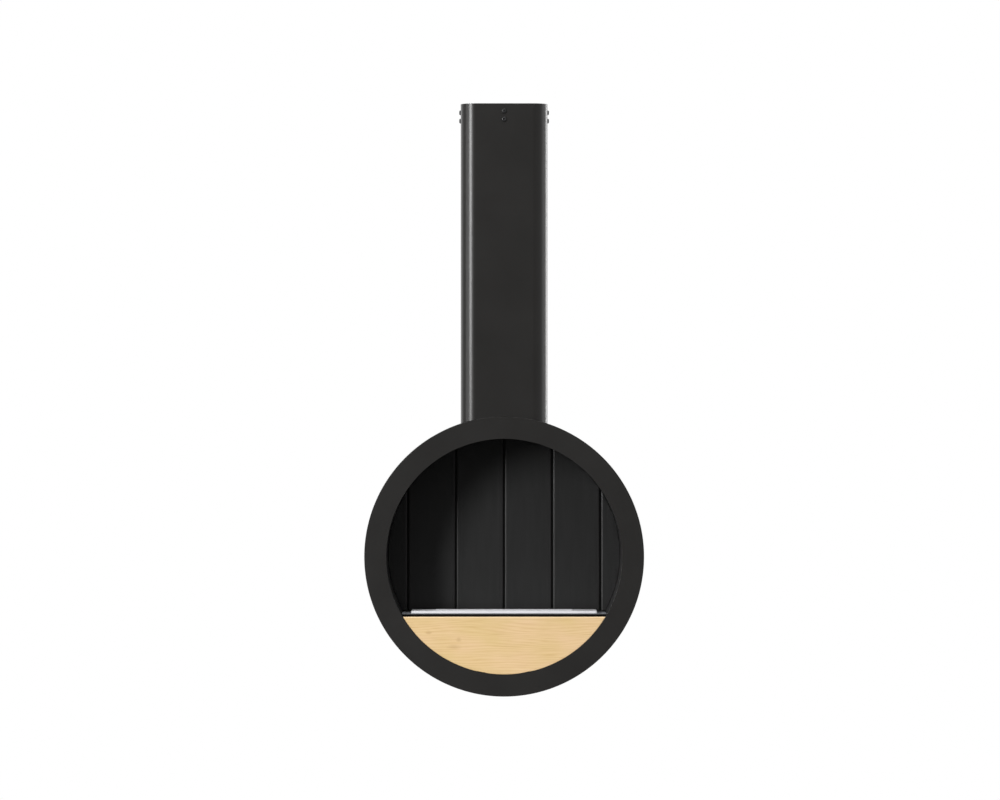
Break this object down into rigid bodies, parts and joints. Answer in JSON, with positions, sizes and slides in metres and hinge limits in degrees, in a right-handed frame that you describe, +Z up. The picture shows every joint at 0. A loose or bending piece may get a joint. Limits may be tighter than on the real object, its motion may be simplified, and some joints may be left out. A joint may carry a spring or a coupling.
{
  "type": "suspended fireplace",
  "caption": "Suspended round fireplace: an open steel drum on a rectangular ceiling column, with a burner insert in its shelf, a panelled back and a pull-off wooden front.",
  "frame": {"origin": "centre of the ceiling plate's top face, on the column's axis, in the plane of the ceiling", "axes": "+Z up; the drum's open front faces -Y; +X to the viewer's right"},
  "size_m": [0.8, 0.3031, 1.7],
  "materials": {
    "black_paint": "satin",
    "black_screw": "satin",
    "stainless": "satin",
    "zinc_steel": "satin",
    "oak": "satin",
    "beech": "matte",
    "vermiculite": "matte",
    "ceramic_wool": "matte",
    "magnet": "polished"
  },
  "bodies": {
    "root": {"back_panel_1": "black_paint", "back_panel_2": "black_paint", "back_panel_3": "black_paint", "back_panel_4": "black_paint", "back_panel_5": "black_paint", "back_panel_6": "black_paint", "bulkhead": "black_paint", "ceiling_plate": "zinc_steel", "ceiling_sleeve": "zinc_steel", "column_foot": "zinc_steel", "column_screw_front_lower": "black_screw", "column_screw_front_upper": "black_screw", "column_screw_left_lower": "black_screw", "column_screw_left_upper": "black_screw", "column_screw_rear_lower": "black_screw", "column_screw_rear_upper": "black_screw", "column_screw_right_lower": "black_screw", "column_screw_right_upper": "black_screw", "column_tube": "black_paint", "firebox_liner": "black_paint", "foot_nut_1": "zinc_steel", "foot_nut_2": "zinc_steel", "foot_nut_3": "zinc_steel", "foot_nut_4": "zinc_steel", "front_rail": "black_paint", "front_ring": "black_paint", "hanger_bolt_1": "zinc_steel", "hanger_bolt_2": "zinc_steel", "hanger_bolt_3": "zinc_steel", "hanger_bolt_4": "zinc_steel", "hanger_plate": "zinc_steel", "insulation_blanket": "ceramic_wool", "insulation_board": "vermiculite", "outer_shell": "black_paint", "panel_rail_lower": "black_paint", "panel_rail_upper": "black_paint", "rear_cover": "black_paint", "rear_flange": "black_paint", "rear_screw_1": "black_screw", "rear_screw_2": "black_screw", "rear_screw_3": "black_screw", "rear_screw_4": "black_screw", "rear_screw_5": "black_screw", "rear_screw_6": "black_screw", "shelf": "black_paint", "shelf_bracket_left": "black_paint", "shelf_bracket_right": "black_paint", "spill_tray": "black_paint"},
    "burner": {"burner_tray": "stainless", "burner_tank": "stainless", "burner_wool": "ceramic_wool", "burner_mesh": "stainless"},
    "lid": {"burner_lid": "stainless"},
    "front": {"wood_front": "oak", "front_dowel_left": "beech", "front_dowel_right": "beech", "front_magnet_left": "magnet", "front_magnet_right": "magnet"}
  },
  "joints": [
    {"name": "burner_lift", "type": "slide", "parent": "root", "child": "burner", "axis": [0, 0, 1], "range_m": [0, 0.075]},
    {"name": "lid_lift", "type": "slide", "parent": "burner", "child": "lid", "axis": [0, 0, 1], "range_m": [0, 0.02]},
    {"name": "front_pull", "type": "slide", "parent": "root", "child": "front", "axis": [0, -1, 0], "range_m": [0, 0.03]}
  ]
}
